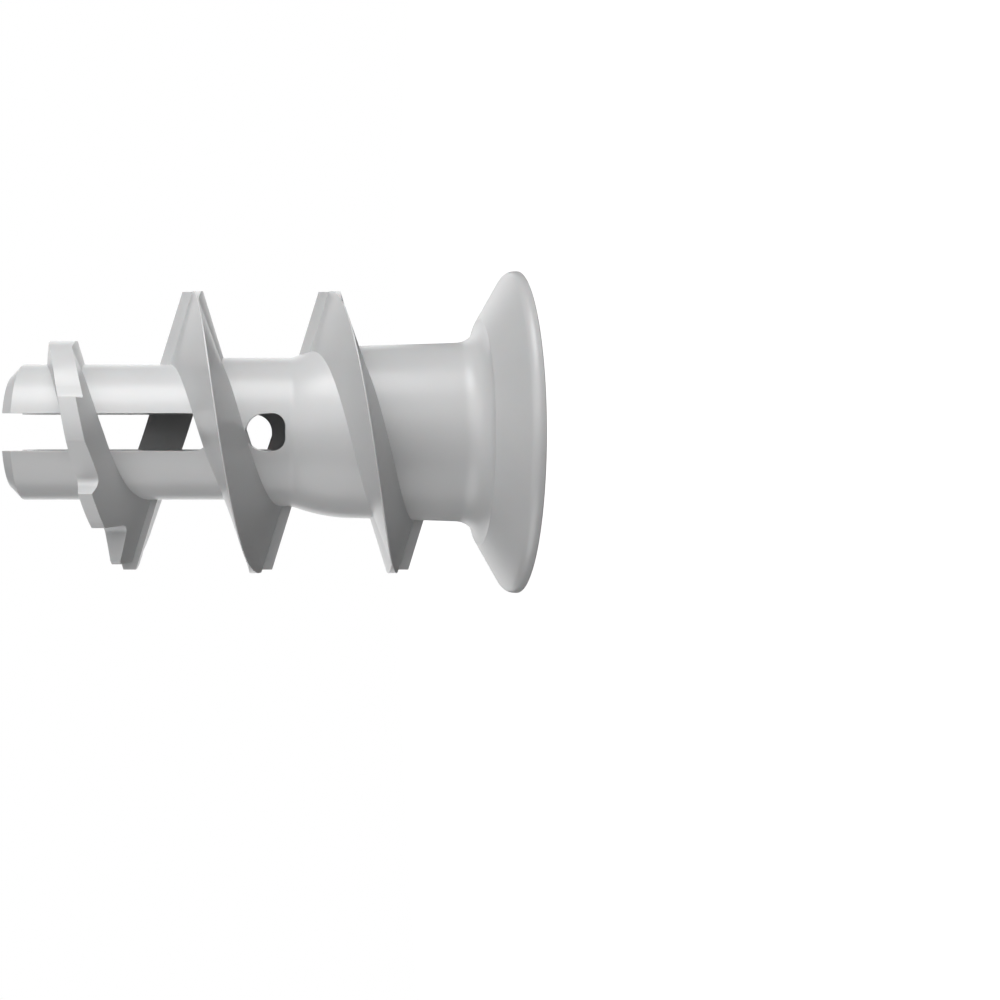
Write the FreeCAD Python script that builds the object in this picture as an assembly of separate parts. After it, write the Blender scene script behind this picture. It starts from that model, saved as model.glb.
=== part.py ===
"""Self-drilling plasterboard plug: one injection-moulded nylon piece.

The plug stands on its head. The origin is the centre of the head's outer face,
and +Z runs along the plug's axis to the drilling tip. The mould parts in the XZ
plane, so every half-turn of the thread lies wholly on one side of that plane.
"""

import FreeCAD, Part
import math
import os

from FreeCAD import Vector

# Overall sizes, millimetres
length = 22.0
head_diameter = 14.05
core_diameter = 5.95
middle_diameter = 6.53
thread_diameter = 12.35

# Head and neck
rim_thickness = 0.43
rim_shoulder_chamfer = 0.12
flange_angle = 60.0
neck_diameter_at_head = 7.84
neck_diameter_at_bulge = 7.57
neck_fillet = 1.05
neck_end = 7.0

# Bulge between the neck and the middle of the shank
bulge_end = 9.92

# Step from the middle to the front of the shank, and the tip
step_turns = 1.235
middle_step = 0.15
tip_chamfer = 0.47

# Screw bore, wide in the neck and narrower in the slotted shank
bore_diameter = 4.0
tip_bore_diameter = 3.4
bore_step = 9.2
bore_step_cone = 0.3
mouth_chamfer = 0.25

# Cross recess for the driver
recess_span = 5.8
recess_floor_span = 4.3
recess_width = 1.35
recess_floor_width = 0.95
recess_depth = 2.6

# Slots through the two sides of the shank, set by the crest that crosses the near one
slot_width = 1.59
web_turns = 1.25
web_ahead = 0.5
web_behind = 0.93
window_length = 1.67
window_corner = 0.55
long_slot_behind = 1.95

# Thread: a steep-flanked right-hand helix
thread_pitch = 6.0
thread_start = 1.84
thread_crest = 0.05
flank_angle = 17.2
parting_relief = 26.0
parting_crest_drop = 0.115
thread_clear_of_head = 2.0
thread_seat = 0.025
run_out_start = 40.0
run_out_end = 140.0

# Cutting teeth, cut in the first half-turn by faces parallel to the axis
tooth_face_lead = 0.383
tooth_face_slope = 0.12
tooth_face_radius = 3.96
tooth_face_start = 11.5
tooth_back_flare = 0.155
tooth_back_flare_start = 145.0

# Outline of the teeth, seen along the axis: x runs across the mould's parting plane
lead_in_radius = 4.0
first_tooth_radius = 4.75
first_tooth_start_x = 1.41
first_tooth_end_x = -0.34
gullet_points = ((-1.25, -4.3), (-1.85, -4.03), (-2.2, -4.15))
second_tooth_radius = 5.2
second_tooth_start_x = -2.5
second_tooth_foot_x = -3.97
last_tooth_radius = 5.69
last_tooth_y = -1.5
last_tooth_draft = 0.05
last_tooth_chamfer = 0.15
pocket_round = 0.4

# Fineness of the lofted thread
section_step = 9.0

half_turn = 180.0
quarter_turn = 90.0
root_radius = core_diameter / 2 - thread_seat
crest_radius = thread_diameter / 2
flank_slope = math.tan(math.radians(flank_angle))
thread_start_z = length - thread_start
quarter_arc_handle = 0.5523


def arc(start, middle, end):
    return Part.Arc(start, middle, end).toShape()


def line(start, end):
    return Part.LineSegment(start, end).toShape()


def bezier(poles):
    curve = Part.BezierCurve()
    curve.setPoles(poles)
    return curve.toShape()


def polyline(points):
    return [line(a, b) for a, b in zip(points, points[1:])]


def profile_point(radius, z):
    return Vector(radius, 0, z)


def turned(edges):
    """Solid of revolution about the axis, in quarters, from the edges of half its section."""
    centre, axis = Vector(0, 0, 0), Vector(0, 0, 1)
    section = Part.Face(Part.Wire(Part.__sortEdges__(edges)))
    quarters = [section.revolve(centre, axis, quarter_turn)]
    while len(quarters) < 4:
        next_quarter = quarters[-1].copy()
        next_quarter.rotate(centre, axis, quarter_turn)
        quarters.append(next_quarter)
    return quarters[0].multiFuse(quarters[1:])


def flange_rise(run):
    """Height that the flange cone climbs over a run towards the axis."""
    return run / math.tan(math.radians(flange_angle))


def head_edges(foot):
    """Face, rim land and flange cone, in to the circle where the neck fillet starts."""
    rim = head_diameter / 2
    corners = [
        profile_point(0, 0),
        profile_point(rim, 0),
        profile_point(rim, rim_thickness - rim_shoulder_chamfer),
        profile_point(rim - rim_shoulder_chamfer, rim_thickness + flange_rise(rim_shoulder_chamfer)),
        foot,
    ]
    return polyline(corners)


def neck_edges(foot, neck_foot, neck_top):
    """Concave fillet above the flange, and the slightly tapered neck."""
    corner = profile_point(neck_foot.x, foot.z)
    towards_axis = foot + (corner - foot) * quarter_arc_handle
    up_the_neck = neck_foot + (corner - neck_foot) * quarter_arc_handle
    return [bezier([foot, towards_axis, up_the_neck, neck_foot]), line(neck_foot, neck_top)]


def bulge_edge(neck_top, shank):
    """The round shoulder that swells from the shank and meets the neck without a crease."""
    swell = neck_top.x - shank.x
    rise = shank.z - neck_top.z
    radius = (swell**2 + rise**2) / (2 * swell)
    centre = neck_top - Vector(radius, 0, 0)
    middle = centre + ((neck_top + shank) / 2 - centre).normalize() * radius
    return arc(neck_top, middle, shank)


def shank_edges(shank):
    """Middle cylinder, the step under the thread, front cylinder and tip chamfer."""
    step = thread_centre(step_turns)
    core = core_diameter / 2
    corners = [
        shank,
        profile_point(middle_diameter / 2, step - middle_step),
        profile_point(core, step),
        profile_point(core, length - tip_chamfer),
        profile_point(core - tip_chamfer, length),
        profile_point(0, length),
        profile_point(0, 0),
    ]
    return polyline(corners)


def solid_shank():
    """The plug without its bore, slots and thread, turned about the axis."""
    neck_radius = neck_diameter_at_head / 2
    foot_radius = neck_radius + neck_fillet
    foot_z = rim_thickness + flange_rise(head_diameter / 2 - foot_radius)
    foot = profile_point(foot_radius, foot_z)
    neck_foot = profile_point(neck_radius, foot_z + neck_fillet)
    neck_top = profile_point(neck_diameter_at_bulge / 2, neck_end)
    shank = profile_point(middle_diameter / 2, bulge_end)
    edges = head_edges(foot) + neck_edges(foot, neck_foot, neck_top)
    return turned(edges + [bulge_edge(neck_top, shank)] + shank_edges(shank))


def screw_bore():
    """Stepped hole along the whole axis, chamfered at its mouth."""
    wide = bore_diameter / 2
    narrow = tip_bore_diameter / 2
    corners = [
        profile_point(0, -mouth_chamfer),
        profile_point(wide + 2 * mouth_chamfer, -mouth_chamfer),
        profile_point(wide, mouth_chamfer),
        profile_point(wide, bore_step),
        profile_point(narrow, bore_step + bore_step_cone),
        profile_point(narrow, length + tip_chamfer),
        profile_point(0, length + tip_chamfer),
        profile_point(0, -mouth_chamfer),
    ]
    return turned(polyline(corners))


def recess_bar(turn):
    """One of the two tapered bars that make the cross recess."""

    def rectangle(span, width, z):
        x, y = span / 2, width / 2
        corners = [Vector(x, y, z), Vector(-x, y, z), Vector(-x, -y, z), Vector(x, -y, z)]
        return Part.makePolygon(corners + corners[:1])

    mouth = rectangle(recess_span, recess_width, 0)
    floor = rectangle(recess_floor_span, recess_floor_width, recess_depth)
    bar = Part.makeLoft([mouth, floor], True, True)
    bar.rotate(Vector(0, 0, 0), Vector(0, 0, 1), turn)
    return bar


def thread_centre(turns):
    """Height of the thread's crest after a number of turns from its start."""
    return thread_start_z - thread_pitch * turns


def wall_slot(side, low, high, low_corner, high_corner):
    """Slot through the wall on one side, with rounded corners at its two ends."""
    half = slot_width / 2
    reach = neck_diameter_at_head

    def corner_arc(sign, z, radius, way):
        outer = Vector(sign * half, 0, z - way * radius)
        inner = Vector(sign * (half - radius), 0, z)
        centre = Vector(sign * (half - radius), 0, z - way * radius)
        middle = centre + Vector(sign, 0, way).normalize() * radius
        return outer, middle, inner

    right_low = corner_arc(1, low, low_corner, -1)
    right_high = corner_arc(1, high, high_corner, 1)
    left_high = corner_arc(-1, high, high_corner, 1)
    left_low = corner_arc(-1, low, low_corner, -1)
    edges = [
        line(right_low[0], right_high[0]),
        arc(*right_high),
        arc(*left_high),
        line(left_high[0], left_low[0]),
        arc(*left_low),
        arc(*right_low),
    ]
    for one, other in ((right_high, left_high), (right_low, left_low)):
        if (one[2] - other[2]).Length > thread_seat:
            edges.append(line(one[2], other[2]))
    outline = Part.Wire(Part.__sortEdges__(edges))
    return Part.Face(outline).extrude(Vector(0, side * reach, 0))


def shank_slots():
    """A slot and a window on the near side, split by a web, and one long slot on the far side."""
    full = slot_width / 2
    past_tip = length + slot_width
    web = thread_centre(web_turns)
    window_top = web - web_behind
    return [
        wall_slot(-1, web + web_ahead, past_tip, full, full),
        wall_slot(-1, window_top - window_length, window_top, window_corner, full),
        wall_slot(1, web - long_slot_behind, past_tip, full, full),
    ]


def ring_section(angle, corners):
    """Closed outline in the half-plane at an angle, from corners given as radius and height."""
    turn = math.radians(angle)
    points = [Vector(r * math.cos(turn), -r * math.sin(turn), z) for r, z in corners]
    return Part.makePolygon(points + points[:1])


def crest_edges(z_start, angle):
    """Tip-side and head-side edges of the crest, held level near the parting plane."""
    tip_side = min(angle, half_turn - parting_relief)
    head_side = max(angle, parting_relief)
    tip_z = z_start - thread_pitch * tip_side / 360 + thread_crest / 2
    head_z = z_start - thread_pitch * head_side / 360 - thread_crest / 2
    return tip_z, head_z


def thread_corners(z_start, angle, radius):
    """Section of the thread, cut off at a radius."""
    tip_z, head_z = crest_edges(z_start, angle)
    top = flank_slope * (crest_radius - radius)
    root = flank_slope * (crest_radius - root_radius)
    return [
        (root_radius, tip_z + root),
        (radius, tip_z + top),
        (radius, head_z - top),
        (root_radius, head_z - root),
    ]


def tooth_corners(z_start, angle):
    """Section of the first half-turn, whose tip side is a steep cutting face."""
    corners = thread_corners(z_start, angle, last_tooth_radius)
    face_angle = max(angle, tooth_face_start)
    face_z = z_start - thread_pitch * face_angle / 360 + tooth_face_lead
    for n in (0, 1):
        radius = corners[n][0]
        corners[n] = (radius, face_z - tooth_face_slope * (radius - tooth_face_radius))
    flare_share = (angle - tooth_back_flare_start) / (half_turn - tooth_back_flare_start)
    flare = tooth_back_flare * max(flare_share, 0)
    for n in (2, 3):
        radius, z = corners[n]
        corners[n] = (radius, z - flare)
    return corners


def loft_span(start, end, corners_at):
    """Solid through evenly spaced sections from one angle to another."""
    count = max(2, round((end - start) / section_step))
    angles = [start + (end - start) * n / count for n in range(count + 1)]
    return Part.makeLoft([ring_section(a, corners_at(a)) for a in angles], True, True)


def loft_through(stops, corners_at):
    """Solid lofted span by span, with an edge kept at every stop."""
    spans = [loft_span(a, b, corners_at) for a, b in zip(stops, stops[1:])]
    return spans[0].multiFuse(spans[1:])


def crest_drop_at(angle, crest_drop):
    """How low the crest is where it starts at the parting plane, and a little after."""
    return crest_drop * max(1 - angle / parting_relief, 0)


def plain_half_turn(z_start, crest_drop):
    """Half a turn of thread, whose crest may start a little low at the parting plane."""

    def corners(angle):
        return thread_corners(z_start, angle, crest_radius - crest_drop_at(angle, crest_drop))

    return loft_through([0, parting_relief, half_turn - parting_relief, half_turn], corners)


def run_out_half_turn(z_start, crest_drop):
    """Last half-turn, whose crest sinks into the neck."""
    buried = neck_diameter_at_bulge / 2 - tip_chamfer

    def corners(angle):
        share = (angle - run_out_start) / (run_out_end - run_out_start)
        share = min(max(share, 0), 1)
        radius = crest_radius + (buried - crest_radius) * share
        return thread_corners(z_start, angle, radius - crest_drop_at(angle, crest_drop))

    return loft_through([0, parting_relief, run_out_start, run_out_end], corners)


def on_circle(radius, x):
    """Point of a circle about the axis on the near side of the parting plane."""
    return Vector(x, -math.sqrt(radius**2 - x**2), 0)


def land(start, end):
    """Round land of a tooth, an arc about the axis."""
    middle = (start + end).normalize() * start.Length
    return arc(start, middle, end)


def tooth_outline():
    """The stepped outline of the cutting teeth, seen along the axis."""
    start = Vector(lead_in_radius, 0, 0)
    lead_in_end = on_circle(lead_in_radius, first_tooth_start_x)
    first_start = on_circle(first_tooth_radius, first_tooth_start_x)
    first_end = on_circle(first_tooth_radius, first_tooth_end_x)
    second_start = on_circle(second_tooth_radius, second_tooth_start_x)
    second_end = on_circle(second_tooth_radius, second_tooth_foot_x)
    gullet = Part.BSplineCurve()
    gullet.interpolate([first_end] + [Vector(x, y, 0) for x, y in gullet_points] + [second_start])
    pocket = Vector(second_tooth_foot_x, last_tooth_y - pocket_round, 0)
    pocket_centre = pocket - Vector(pocket_round, 0, 0)
    pocket_middle = pocket_centre + Vector(1, 1, 0).normalize() * pocket_round
    pocket_end = pocket_centre + Vector(0, pocket_round, 0)
    wall_end = Vector(last_tooth_chamfer - last_tooth_radius, last_tooth_y + last_tooth_draft, 0)
    last_corner = wall_end + Vector(-last_tooth_chamfer, last_tooth_chamfer, 0)
    last_end = Vector(-last_tooth_radius, 0, 0)
    edges = [
        land(start, lead_in_end),
        line(lead_in_end, first_start),
        land(first_start, first_end),
        gullet.toShape(),
        land(second_start, second_end),
        line(second_end, pocket),
        arc(pocket, pocket_middle, pocket_end),
    ]
    edges += polyline([pocket_end, wall_end, last_corner, last_end, start])
    return Part.Face(Part.Wire(Part.__sortEdges__(edges)))


def toothed_half_turn(z_start):
    """First half-turn: a steep cutting face, trimmed to the outline of the teeth."""
    stops = [0, tooth_face_start, parting_relief, tooth_back_flare_start, half_turn]
    blank = loft_through(stops, lambda angle: tooth_corners(z_start, angle))
    room = blank.BoundBox
    outline = tooth_outline()
    outline.translate(Vector(0, 0, room.ZMin - thread_crest))
    return blank.common(outline.extrude(Vector(0, 0, room.ZLength + 2 * thread_crest)))


def thread():
    """Half-turns on alternate sides of the parting plane, as many as the shank takes."""
    half_pitch = thread_pitch / 2
    count = int((thread_start_z - thread_clear_of_head) / half_pitch)
    pieces = []
    for n in range(count):
        z_start = thread_start_z - half_pitch * n
        far_side = n % 2
        if n == 0:
            piece = toothed_half_turn(z_start)
        elif n == count - 1:
            piece = run_out_half_turn(z_start, parting_crest_drop * far_side)
        else:
            piece = plain_half_turn(z_start, parting_crest_drop * far_side)
        piece.rotate(Vector(0, 0, 0), Vector(0, 0, 1), half_turn * far_side)
        pieces.append(piece)
    return pieces


def anchor_body():
    shank = solid_shank().cut([screw_bore(), recess_bar(0), recess_bar(90)] + shank_slots())
    return shank.multiFuse(thread())


os.makedirs("parts", exist_ok=True)
body = anchor_body()
body.exportStep("parts/anchor_body.step")
print("solids", len(body.Solids), "valid", body.isValid(), "volume", round(body.Volume, 2))
print("box", body.BoundBox)
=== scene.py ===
from math import acos, atan2, ceil, cos, degrees, hypot, pi, radians, sin, tan

import bpy
from mathutils import Matrix, Vector


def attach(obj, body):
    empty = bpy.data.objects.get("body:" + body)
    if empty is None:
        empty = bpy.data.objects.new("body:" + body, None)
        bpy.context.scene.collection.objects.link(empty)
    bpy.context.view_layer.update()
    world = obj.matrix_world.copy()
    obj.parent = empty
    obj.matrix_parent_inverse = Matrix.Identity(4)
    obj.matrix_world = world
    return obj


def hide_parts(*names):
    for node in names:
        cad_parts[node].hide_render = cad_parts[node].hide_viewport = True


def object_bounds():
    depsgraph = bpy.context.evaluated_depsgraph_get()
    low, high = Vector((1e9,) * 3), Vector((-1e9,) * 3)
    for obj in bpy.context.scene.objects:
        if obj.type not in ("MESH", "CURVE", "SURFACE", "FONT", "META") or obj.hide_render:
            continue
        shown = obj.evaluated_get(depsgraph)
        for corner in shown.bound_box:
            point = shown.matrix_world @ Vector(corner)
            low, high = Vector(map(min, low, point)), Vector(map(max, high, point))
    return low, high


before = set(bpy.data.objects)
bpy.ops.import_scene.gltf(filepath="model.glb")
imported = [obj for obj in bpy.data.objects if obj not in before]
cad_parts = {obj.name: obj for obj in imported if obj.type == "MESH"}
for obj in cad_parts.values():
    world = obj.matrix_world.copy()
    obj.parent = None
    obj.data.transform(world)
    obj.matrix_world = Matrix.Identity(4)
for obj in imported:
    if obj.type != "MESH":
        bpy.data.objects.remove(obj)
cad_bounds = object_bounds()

mm = 0.001


# Head and shank
# A self-drilling plasterboard plug, injection-moulded in one shot of nylon (polyamide 6).
# The countersunk head, neck, bulge and shank are turned about the screw's bore. The piece
# is drawn in millimetres, tip up, and brought to metres when all of it has been joined.

plug_length = 22.0
head_radius = 14.05 / 2
core_radius = 5.95 / 2
middle_radius = 6.53 / 2
neck_radius_at_head = 7.84 / 2
neck_radius_at_bulge = 7.57 / 2
rim_thickness = 0.43
rim_face_round = 0.05
rim_shoulder_round = 0.45
flange_slope = tan(radians(60))
neck_fillet = 1.05
neck_end = 7.0
bulge_end = 9.8
bulge_foot_round = 0.9
step_place = 12.75
step_height = 0.15
step_lean = 0.11
tip_chamfer = 0.47
bore_radius = 4.0 / 2
tip_bore_radius = 3.4 / 2
bore_step = 9.2
bore_step_cone = 0.3
mouth_chamfer = 0.25
turning_step = 2
ring_spacing = 0.3
fillet_steps = 14
bulge_steps = 12
joining_distance = 0.001


def section_point(radius, z):
    return Vector((radius, 0, z))


def rounded(before, corner, after, radius, steps=6):
    """Points of the arc that rounds one corner of an outline."""
    to_before = (before - corner).normalized()
    to_after = (after - corner).normalized()
    half_angle = to_before.angle(to_after) / 2
    middle_way = (to_before + to_after).normalized()
    centre = corner + middle_way * radius / sin(half_angle)
    start = corner + to_before * radius / tan(half_angle) - centre
    end = corner + to_after * radius / tan(half_angle) - centre
    return [centre + start.slerp(end, n / steps).normalized() * radius for n in range(steps + 1)]


def with_rings(points, spacing):
    """The same closed outline, with points added along its long straight runs."""
    closed = points + points[:1]
    spaced = []
    for start, end in zip(closed, closed[1:]):
        count = max(1, ceil((end - start).length / spacing))
        spaced += [start.lerp(end, n / count) for n in range(count)]
    return spaced


def ring_of(points, name):
    """A closed ring of vertices, laid along an outline."""
    bpy.ops.object.select_all(action="DESELECT")
    bpy.ops.mesh.primitive_circle_add(vertices=len(points))
    ring = bpy.context.view_layer.objects.active
    ring.name = name
    for vertex, point in zip(ring.data.vertices, points):
        vertex.co = point
    return ring


def spin_about_axis(ring, angle):
    """Spins a ring about the plug's axis into a closed skin, with caps where it stays open."""
    bpy.ops.object.mode_set(mode="EDIT")
    bpy.ops.mesh.select_all(action="SELECT")
    steps = round(degrees(abs(angle)) / turning_step)
    bpy.ops.mesh.spin(steps=steps, angle=angle, center=(0, 0, 0), axis=(0, 0, 1))
    bpy.ops.mesh.select_all(action="SELECT")
    bpy.ops.mesh.remove_doubles(threshold=joining_distance)
    bpy.ops.mesh.fill_holes(sides=0)
    bpy.ops.mesh.select_all(action="SELECT")
    bpy.ops.mesh.normals_make_consistent(inside=False)
    bpy.ops.object.mode_set(mode="OBJECT")
    return ring


def head_and_neck():
    """Outer outline from the head's face to the top of the neck."""
    face = section_point(bore_radius + mouth_chamfer, 0)
    face_corner = section_point(head_radius, 0)
    shoulder = section_point(head_radius, rim_thickness)
    foot_radius = neck_radius_at_head + neck_fillet
    foot = section_point(foot_radius, rim_thickness + (head_radius - foot_radius) / flange_slope)
    fillet_centre = foot + Vector((0, 0, neck_fillet))
    turns = [pi / 2 * n / fillet_steps for n in range(fillet_steps + 1)]
    fillet = [fillet_centre + Vector((-sin(turn), 0, -cos(turn))) * neck_fillet for turn in turns]
    points = [face] + rounded(face, face_corner, shoulder, rim_face_round, steps=5)
    return points + rounded(face_corner, shoulder, foot, rim_shoulder_round) + fillet


def bulge():
    """The round shoulder between neck and shank, eased into the shank at its foot."""
    top = section_point(neck_radius_at_bulge, neck_end)
    foot = section_point(middle_radius, bulge_end)
    swell, rise = top.x - foot.x, foot.z - top.z
    radius = (swell**2 + rise**2) / (2 * swell)
    reach = atan2(rise, radius - swell)
    centre = top - Vector((radius, 0, 0))
    turns = [reach * n / bulge_steps for n in range(bulge_steps)]
    arc = [centre + Vector((cos(turn), 0, sin(turn))) * radius for turn in turns]
    along_shank = foot + Vector((0, 0, 1))
    return arc + rounded(arc[-1], foot, along_shank, bulge_foot_round)


def shank_outline():
    """The whole turned outline: up the outside, over the tip and down the stepped bore."""
    outer = head_and_neck() + bulge()
    outer += [
        section_point(middle_radius, step_place - step_height),
        section_point(core_radius, step_place),
        section_point(core_radius, plug_length - tip_chamfer),
        section_point(core_radius - tip_chamfer, plug_length),
    ]
    bore = [
        section_point(tip_bore_radius, plug_length),
        section_point(tip_bore_radius, bore_step + bore_step_cone),
        section_point(bore_radius, bore_step),
        section_point(bore_radius, mouth_chamfer),
    ]
    return with_rings(outer + bore, ring_spacing)


plug = spin_about_axis(ring_of(shank_outline(), "nylon_plug"), 2 * pi)

# The step's ring leans: it lies nearer to the tip on the +X side.
margin = 0.01
for vertex in plug.data.vertices:
    on_step = step_place - step_height - margin < vertex.co.z < step_place + margin
    if on_step and hypot(vertex.co.x, vertex.co.y) > core_radius - margin:
        vertex.co.z += step_lean * (1 + vertex.co.x / middle_radius)


# Driver recess and side slots
# The mould's core pins leave a cross recess in the head, and its two halves leave the slots
# that let the shank spread on the screw: a slot and a window on one side, and one long slot
# on the other.

recess_span = 5.8
recess_floor_span = 4.3
recess_width = 1.35
recess_floor_width = 0.95
recess_depth = 2.6
slot_width = 1.59
near_slot_end = 13.16
window_start = 10.06
window_end = 11.73
window_corner = 0.55
far_slot_end = 10.71
far_slot_corner = 0.1


def combine(body, tool, operation):
    """Joins a tool to the body, cuts it out, or keeps what the two share."""
    bpy.ops.object.select_all(action="DESELECT")
    bpy.context.view_layer.objects.active = body
    modifier = body.modifiers.new("combine", "BOOLEAN")
    modifier.operation = operation
    modifier.solver = "EXACT"
    modifier.object = tool
    bpy.ops.object.modifier_apply(modifier=modifier.name)
    bpy.data.objects.remove(tool)


def push_out(ring, way):
    """Fills a flat ring and pushes it out into a closed block."""
    bpy.ops.object.mode_set(mode="EDIT")
    bpy.ops.mesh.select_all(action="SELECT")
    bpy.ops.mesh.edge_face_add()
    bpy.ops.mesh.extrude_region_move(TRANSFORM_OT_translate={"value": way})
    bpy.ops.mesh.select_all(action="SELECT")
    bpy.ops.mesh.normals_make_consistent(inside=False)
    bpy.ops.object.mode_set(mode="OBJECT")
    return ring


def recess_bar(turn):
    """One tapered bar of the cross, reaching a little below the head's face."""
    below = 0.2
    bpy.ops.object.select_all(action="DESELECT")
    bpy.ops.mesh.primitive_cube_add(size=2)
    bar = bpy.context.view_layer.objects.active
    for vertex in bar.data.vertices:
        z = recess_depth if vertex.co.z > 0 else -below
        share = z / recess_depth
        span = recess_span + (recess_floor_span - recess_span) * share
        width = recess_width + (recess_floor_width - recess_width) * share
        x, y = vertex.co.x * span / 2, vertex.co.y * width / 2
        vertex.co = (x * cos(turn) - y * sin(turn), x * sin(turn) + y * cos(turn), z)
    return bar


def wall_slot(side, low, high, corner_radii):
    """A block as wide as the slot, from the axis out through the wall on one side."""
    half = slot_width / 2
    corners = [Vector((x, 0, z)) for x, z in ((-half, low), (half, low), (half, high), (-half, high))]
    outline = []
    for n, radius in enumerate(corner_radii):
        outline += rounded(corners[n - 1], corners[n], corners[(n + 1) % 4], radius, steps=10)
    return push_out(ring_of(outline, "slot"), (0, side * neck_radius_at_head, 0))


for turn in (0, pi / 2):
    combine(plug, recess_bar(turn), "DIFFERENCE")
# A round end stays a hair under half the width, so that its two corners never meet.
full_round = slot_width / 2 * 0.999
past_tip = plug_length + slot_width
near_slot = wall_slot(-1, near_slot_end, past_tip, [full_round] * 4)
window = wall_slot(-1, window_start, window_end, [window_corner] * 2 + [full_round] * 2)
far_slot = wall_slot(1, far_slot_end, past_tip, [far_slot_corner] + [full_round] * 3)
for opening in (near_slot, window, far_slot):
    combine(plug, opening, "DIFFERENCE")


# Thread
# A coarse right-hand helix, sharp at its crest. Each half of the mould makes its own half-turns,
# so at the parting plane one flank is held level to let the piece out.

thread_pitch = 6.0
thread_start = 20.16
crest_radius = 12.35 / 2
root_radius = core_radius - 0.025
crest_width = 0.05
flank_slope = tan(radians(17.2))
half_turn = 180
parting_relief = 26
parting_crest_drop = 0.115
run_out_start = 40
run_out_end = 140
run_out_radius = neck_radius_at_bulge - 0.47
half_turns = 6
flank_rings = 8


def level_sides(z_start, turn):
    """Heights of the crest's tip-side and head-side edges at an angle from the parting plane."""
    tip_side = z_start - thread_pitch * min(turn, half_turn - parting_relief) / 360
    head_side = z_start - thread_pitch * max(turn, parting_relief) / 360
    return tip_side + crest_width / 2, head_side - crest_width / 2


def swept_half_turn(place_at):
    """Spins a thread section half a turn, then sets each vertex by angle, depth and side."""
    depths = [n / flank_rings for n in range(flank_rings + 1)]
    sides = [(depth, 1) for depth in depths] + [(depth, -1) for depth in reversed(depths)]
    ring = ring_of([section_point(1 + depth, side) for depth, side in sides], "half_turn")
    piece = spin_about_axis(ring, pi)
    for vertex in piece.data.vertices:
        turn = degrees(atan2(-vertex.co.y, vertex.co.x))
        at_end = turn < -turning_step / 2
        turn = half_turn if at_end else min(max(turn, 0), half_turn)
        depth = hypot(vertex.co.x, vertex.co.y) - 1
        radius, z = place_at(turn, depth, vertex.co.z > 0)
        vertex.co = (radius * cos(radians(turn)), -radius * sin(radians(turn)), z)
    return piece


def plain_half_turn(z_start, far_side, last):
    """Half a turn of the plain thread. The last one sinks into the neck."""
    def place_at(turn, depth, tip_side):
        sunk = 0
        if last:
            sunk = min(max((turn - run_out_start) / (run_out_end - run_out_start), 0), 1)
        crest = crest_radius + (run_out_radius - crest_radius) * sunk
        if far_side:
            crest -= parting_crest_drop * max(1 - turn / parting_relief, 0)
        radius = root_radius + (crest - root_radius) * depth
        tip_z, head_z = level_sides(z_start, turn)
        spread = flank_slope * (crest_radius - radius)
        return radius, tip_z + spread if tip_side else head_z - spread

    return swept_half_turn(place_at)


def turn_to_far_side(piece):
    for vertex in piece.data.vertices:
        vertex.co = (-vertex.co.x, -vertex.co.y, vertex.co.z)


# Cutting teeth
# The first half-turn is cut back into three teeth, each with a land about the axis and a
# steep face toward the board, so that the plug saws its own hole.

tooth_face_lead = 0.383
tooth_face_slope = 0.12
tooth_face_radius = 3.96
tooth_face_start = 11.5
tooth_back_flare = 0.155
tooth_back_flare_start = 145
tooth_back_thinning = 0.2
tooth_back_thinning_end = 90
lead_in_radius = 4.0
lead_in_round = 0.2
first_tooth_radius = 4.75
first_tooth_start_x = 1.41
first_tooth_end_x = -0.34
gullet = ((-1.25, -4.3), (-1.85, -4.03), (-2.2, -4.15))
second_tooth_radius = 5.2
second_tooth_start_x = -2.5
second_tooth_foot_x = -3.97
last_tooth_radius = 5.69
last_tooth_y = -1.5
last_tooth_draft = 0.05
last_tooth_chamfer = 0.15
pocket_round = 0.4
blank_margin = 0.2


def land(radius, start_x, end_x):
    """Points of a round land about the axis, from one place across the plug to another."""
    start, end = acos(start_x / radius), acos(end_x / radius)
    count = max(2, ceil(degrees(abs(end - start)) / turning_step))
    turns = [start + (end - start) * n / count for n in range(count + 1)]
    return [Vector((radius * cos(turn), -radius * sin(turn), 0)) for turn in turns]


def smooth_through(points, steps=6):
    """Points of an even curve through the given ones."""
    padded = [points[0]] + points + [points[-1]]
    curve = []
    for before, start, end, after in zip(padded, padded[1:], padded[2:], padded[3:]):
        for n in range(steps):
            t = n / steps
            pull = (end - before) / 2 * t * (1 - t) ** 2 - (after - start) / 2 * t**2 * (1 - t)
            curve.append(start * (1 + 2 * t) * (1 - t) ** 2 + end * (3 - 2 * t) * t**2 + pull)
    return curve + [points[-1]]


def teeth_outline():
    """The stepped outline of the teeth, seen along the axis."""
    first = land(first_tooth_radius, first_tooth_start_x, first_tooth_end_x)
    second = land(second_tooth_radius, second_tooth_start_x, second_tooth_foot_x)
    trough = [first[-1]] + [Vector((x, y, 0)) for x, y in gullet] + [second[0]]
    pocket_corner = Vector((second_tooth_foot_x, last_tooth_y, 0))
    wall_end = Vector((last_tooth_chamfer - last_tooth_radius, last_tooth_y + last_tooth_draft, 0))
    last_corner = wall_end + Vector((-last_tooth_chamfer, last_tooth_chamfer, 0))
    lead_in = land(lead_in_radius, lead_in_radius, first_tooth_start_x)
    # The lead-in's last points give way to the round that meets the first tooth.
    round_start, round_corner = lead_in[-5], lead_in[-1]
    points = lead_in[:-4] + rounded(round_start, round_corner, first[0], lead_in_round, steps=8) + first
    points += smooth_through(trough)[1:-1] + second
    points += rounded(second[-1], pocket_corner, wall_end, pocket_round, steps=8)
    points += [wall_end, last_corner, Vector((-last_tooth_radius, 0, 0))]
    parting_margin = 0.3
    points += [Vector((-last_tooth_radius, parting_margin, 0)), Vector((lead_in_radius, parting_margin, 0))]
    return points


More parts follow.
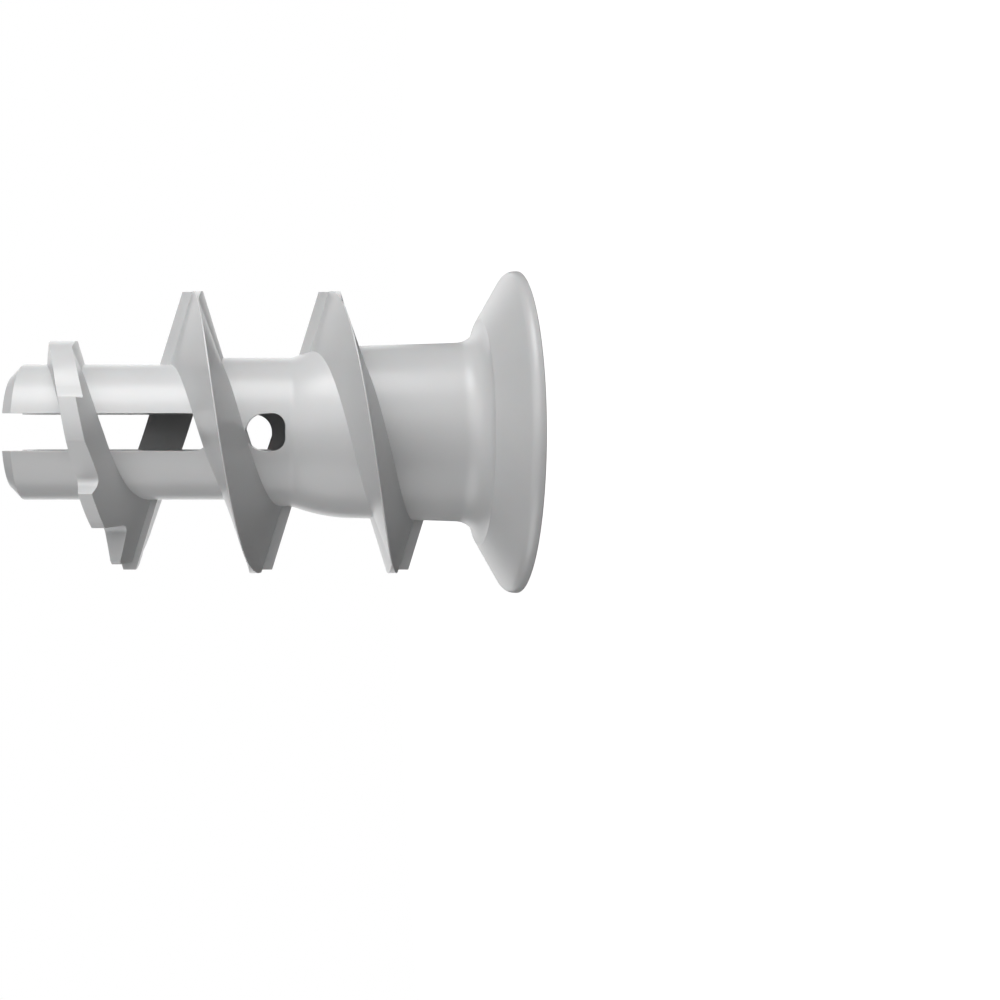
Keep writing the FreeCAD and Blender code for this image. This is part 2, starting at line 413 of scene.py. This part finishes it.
def toothed_half_turn(z_start):
    """A taller blank of the first half-turn, kept only where the teeth's outline covers it."""
    def place_at(turn, depth, tip_side):
        radius = root_radius + (last_tooth_radius + blank_margin - root_radius) * depth
        spread = flank_slope * (crest_radius - radius)
        if tip_side:
            face_z = z_start - thread_pitch * max(turn, tooth_face_start) / 360 + tooth_face_lead
            return radius, face_z - tooth_face_slope * (radius - tooth_face_radius)
        flare = (turn - tooth_back_flare_start) / (half_turn - tooth_back_flare_start)
        thinning = tooth_back_thinning * max(1 - turn / tooth_back_thinning_end, 0)
        head_z = level_sides(z_start, turn)[1] + thinning - tooth_back_flare * max(flare, 0)
        return radius, head_z - spread

    blank = swept_half_turn(place_at)
    below = z_start - thread_pitch
    cutter = ring_of(teeth_outline(), "teeth")
    for vertex in cutter.data.vertices:
        vertex.co.z = below
    combine(blank, push_out(cutter, (0, 0, 2 * thread_pitch)), "INTERSECT")
    return blank


for n in range(half_turns):
    z_start = thread_start - thread_pitch / 2 * n
    if n == 0:
        piece = toothed_half_turn(z_start)
    else:
        piece = plain_half_turn(z_start, n % 2 == 1, n == half_turns - 1)
    if n % 2 == 1:
        turn_to_far_side(piece)
    combine(plug, piece, "UNION")

# Joining leaves a few vertices in one place and slivers between them. They are merged, and the
# piece is brought from millimetres to metres.
same_place = 0.002
bpy.ops.object.select_all(action="DESELECT")
bpy.context.view_layer.objects.active = plug
bpy.ops.object.mode_set(mode="EDIT")
bpy.ops.mesh.select_all(action="SELECT")
bpy.ops.mesh.remove_doubles(threshold=same_place)
bpy.ops.mesh.dissolve_degenerate(threshold=same_place)
bpy.ops.mesh.fill_holes(sides=0)
bpy.ops.mesh.select_all(action="SELECT")
bpy.ops.mesh.normals_make_consistent(inside=False)
bpy.ops.object.mode_set(mode="OBJECT")
plug.data.transform(Matrix.Scale(mm, 4))


# Nylon finish
# Injection-moulded polyamide 6, pale grey and satin. The spark-eroded mould leaves a very fine
# grain, drawn coarser here so that it shows, and thick walls sink in faint waves.

def linear(code):
    """sRGB hex to the linear colour that a shader socket takes."""
    shares = [int(code[n:n + 2], 16) / 255 for n in (1, 3, 5)]
    return [s / 12.92 if s <= 0.04045 else ((s + 0.055) / 1.055) ** 2.4 for s in shares] + [1]


def add_node(tree, kind, settings=None, values=None, links=None):
    """Adds a node, sets it up, fills its sockets and links others to it."""
    node = tree.nodes.new(kind)
    for key, value in (settings or {}).items():
        setattr(node, key, value)
    for key, value in (values or {}).items():
        node.inputs[key].default_value = value
    for key, source in (links or {}).items():
        tree.links.new(source, node.inputs[key])
    return node


def moulded_nylon():
    """Satin polyamide: even colour, slightly milky, with the mould's fine spark grain."""
    nylon_grey = "#BCBDBE"
    nylon_milky = "#C5C5C5"
    milky_patch = 3.5 * mm
    spark_grain = 0.09 * mm
    sink_wave = 2.2 * mm
    material = bpy.data.materials.new("moulded_nylon")
    material.use_nodes = True
    tree = material.node_tree
    tree.nodes.clear()
    place = add_node(tree, "ShaderNodeTexCoord").outputs["Object"]
    patches = add_node(tree, "ShaderNodeTexNoise", None,
                       {"Scale": 1 / milky_patch, "Detail": 3, "Roughness": 0.5}, {"Vector": place})
    colour = add_node(tree, "ShaderNodeMix", {"data_type": "RGBA"}, None, {"Factor": patches.outputs["Fac"]})
    colour.inputs["A"].default_value = linear(nylon_grey)
    colour.inputs["B"].default_value = linear(nylon_milky)
    grain = add_node(tree, "ShaderNodeTexNoise", None,
                     {"Scale": 1 / spark_grain, "Detail": 2, "Roughness": 0.6}, {"Vector": place})
    wave = add_node(tree, "ShaderNodeTexNoise", None,
                    {"Scale": 1 / sink_wave, "Detail": 1, "Roughness": 0.4}, {"Vector": place})
    gloss = add_node(tree, "ShaderNodeMapRange", None, {"To Min": 0.28, "To Max": 0.36},
                     {"Value": grain.outputs["Fac"]})
    sinks = add_node(tree, "ShaderNodeBump", None, {"Strength": 0.25, "Distance": 0.02 * mm},
                     {"Height": wave.outputs["Fac"]})
    sparks = add_node(tree, "ShaderNodeBump", None, {"Strength": 0.12, "Distance": 0.004 * mm},
                      {"Height": grain.outputs["Fac"], "Normal": sinks.outputs["Normal"]})
    shader = add_node(tree, "ShaderNodeBsdfPrincipled", None,
                      {"IOR": 1.53, "Subsurface Weight": 0.06, "Subsurface Scale": 0.4 * mm},
                      {"Base Color": colour.outputs["Result"], "Roughness": gloss.outputs["Result"],
                       "Normal": sparks.outputs["Normal"]})
    add_node(tree, "ShaderNodeOutputMaterial", None, None, {"Surface": shader.outputs["BSDF"]})
    return material


crease_angle = radians(20)
plug.select_set(True)
bpy.context.view_layer.objects.active = plug
bpy.ops.object.shade_smooth_by_angle(angle=crease_angle)
plug.data.materials.clear()
plug.data.materials.append(moulded_nylon())
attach(plug, "root")
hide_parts("anchor_body")


# Floor
# A pale matt board under the head. It shows white to the camera and keeps a faint shadow. From
# below it is clear, and open just inside the rim, so that light reaches the head's face there.

def pale_board():
    """White to a camera above it, clear to one below, and a grey board for the light."""
    white_share = 0.94
    material = bpy.data.materials.new("pale_board")
    material.use_nodes = True
    tree = material.node_tree
    tree.nodes.clear()
    path = add_node(tree, "ShaderNodeLightPath")
    share = add_node(tree, "ShaderNodeMath", {"operation": "MULTIPLY"}, {1: white_share},
                     {0: path.outputs["Is Camera Ray"]})
    board = add_node(tree, "ShaderNodeBsdfDiffuse", None, {"Color": linear("#8F8F8F")})
    white = add_node(tree, "ShaderNodeEmission", None, {"Color": linear("#FFFFFF")},
                     {"Strength": share.outputs[0]})
    both = add_node(tree, "ShaderNodeAddShader", None, None, {0: board.outputs[0], 1: white.outputs[0]})
    sight = add_node(tree, "ShaderNodeNewGeometry")
    height = add_node(tree, "ShaderNodeSeparateXYZ", None, None, {0: sight.outputs["Incoming"]})
    below = add_node(tree, "ShaderNodeMath", {"operation": "LESS_THAN"}, {1: 0}, {0: height.outputs["Z"]})
    see_through = add_node(tree, "ShaderNodeMath", {"operation": "MULTIPLY"}, None,
                           {0: below.outputs[0], 1: path.outputs["Is Camera Ray"]})
    clear = add_node(tree, "ShaderNodeBsdfTransparent")
    shown = add_node(tree, "ShaderNodeMixShader", None, None,
                     {0: see_through.outputs[0], 1: both.outputs[0], 2: clear.outputs[0]})
    add_node(tree, "ShaderNodeOutputMaterial", None, None, {"Surface": shown.outputs[0]})
    return material


floor_radius = 60 * mm
opening_radius = 6.97 * mm
opening_share = opening_radius / floor_radius
bpy.ops.object.select_all(action="DESELECT")
bpy.ops.mesh.primitive_circle_add(vertices=96, radius=floor_radius)
floor = bpy.context.view_layer.objects.active
bpy.ops.object.mode_set(mode="EDIT")
bpy.ops.mesh.select_all(action="SELECT")
bpy.ops.mesh.extrude_edges_move()
bpy.ops.transform.resize(value=(opening_share, opening_share, 1))
bpy.ops.object.mode_set(mode="OBJECT")
floor.name = "floor"
floor.data.materials.append(pale_board())


# Light and camera
# Soft lamps from above, in front and behind, as seen by the camera, and a weaker one from below,
# in a plain pale surround. The camera looks square to the plug's axis, with the tip to its left
# and the world's +X upward.

def soft_lamp(name, rise, lean, width, length, power):
    """A lamp aimed at the plug's middle: degrees above the camera's line and toward the tip."""
    distance = 130 * mm
    plug_middle = Vector((0, 0, cad_bounds[1][2] / 2))
    rise, lean = radians(rise), radians(lean)
    way = Vector((sin(rise) * cos(lean), -cos(rise) * cos(lean), sin(lean)))
    bpy.ops.object.light_add(type="AREA", location=plug_middle + way * distance)
    lamp = bpy.context.view_layer.objects.active
    lamp.name = name
    lamp.data.shape = "ELLIPSE"
    lamp.data.size = width * mm
    lamp.data.size_y = length * mm
    lamp.data.energy = power
    lamp.rotation_euler = (-way).to_track_quat("-Z", "Y").to_euler()


soft_lamp("top_lamp", 67, 4, 80, 120, 0.138)
soft_lamp("front_lamp", 31, 24, 120, 220, 0.131)
soft_lamp("low_lamp", -70, 12, 130, 130, 0.086)
soft_lamp("back_lamp", 180, 0, 200, 200, 0.12)

# The surround is white to the camera. It lights the plug faintly, and more only from below the
# floor, where the head's face gets no lamp's light.
mirrored_share = 0.25
surround_light = 0.04
light_below_floor = 0.6
world = bpy.data.worlds.new("pale_surround")
bpy.context.scene.world = world
world.use_nodes = True
world.node_tree.nodes.clear()
rays = add_node(world.node_tree, "ShaderNodeLightPath")
mirrored = add_node(world.node_tree, "ShaderNodeMath", {"operation": "MULTIPLY"}, {1: mirrored_share},
                    {0: rays.outputs["Is Glossy Ray"]})
seen = add_node(world.node_tree, "ShaderNodeMath", {"operation": "MAXIMUM"}, None,
                {0: rays.outputs["Is Camera Ray"], 1: mirrored.outputs[0]})
seen_or_through = add_node(world.node_tree, "ShaderNodeMath", {"operation": "MAXIMUM"}, None,
                           {0: seen.outputs[0], 1: rays.outputs["Is Transmission Ray"]})
direction = add_node(world.node_tree, "ShaderNodeTexCoord")
height = add_node(world.node_tree, "ShaderNodeSeparateXYZ", None, None, {0: direction.outputs["Generated"]})
light = add_node(world.node_tree, "ShaderNodeMapRange", None,
                 {"From Min": -0.7, "From Max": -0.4, "To Min": light_below_floor, "To Max": surround_light},
                 {"Value": height.outputs["Z"]})
level = add_node(world.node_tree, "ShaderNodeMapRange", None, {"To Max": 1.0},
                 {"Value": seen_or_through.outputs[0], "To Min": light.outputs["Result"]})
sky = add_node(world.node_tree, "ShaderNodeBackground", None, {"Color": linear("#FFFFFF")},
               {"Strength": level.outputs[0]})
add_node(world.node_tree, "ShaderNodeOutputWorld", None, None, {"Surface": sky.outputs[0]})

focal_pixels = 1223
frame_pixels = 1000
axis_row = 432.06
foot_column = 293.8
camera_height = 9.711 * mm
camera_distance = 53.89 * mm
sensor = 36
bpy.ops.object.camera_add()
camera = bpy.context.view_layer.objects.active
right, up, back = Vector((0, 0, -1)), Vector((1, 0, 0)), Vector((0, -1, 0))
facing = Matrix((right, up, back)).transposed().to_4x4()
camera.matrix_world = Matrix.Translation((0, -camera_distance, camera_height)) @ facing
camera.data.sensor_width = sensor
camera.data.lens = sensor * focal_pixels / frame_pixels
camera.data.shift_x = 0.5 - foot_column / frame_pixels
camera.data.shift_y = axis_row / frame_pixels - 0.5
camera.data.clip_start = 1 * mm
bpy.context.scene.camera = camera
bpy.context.scene.view_settings.view_transform = "Standard"
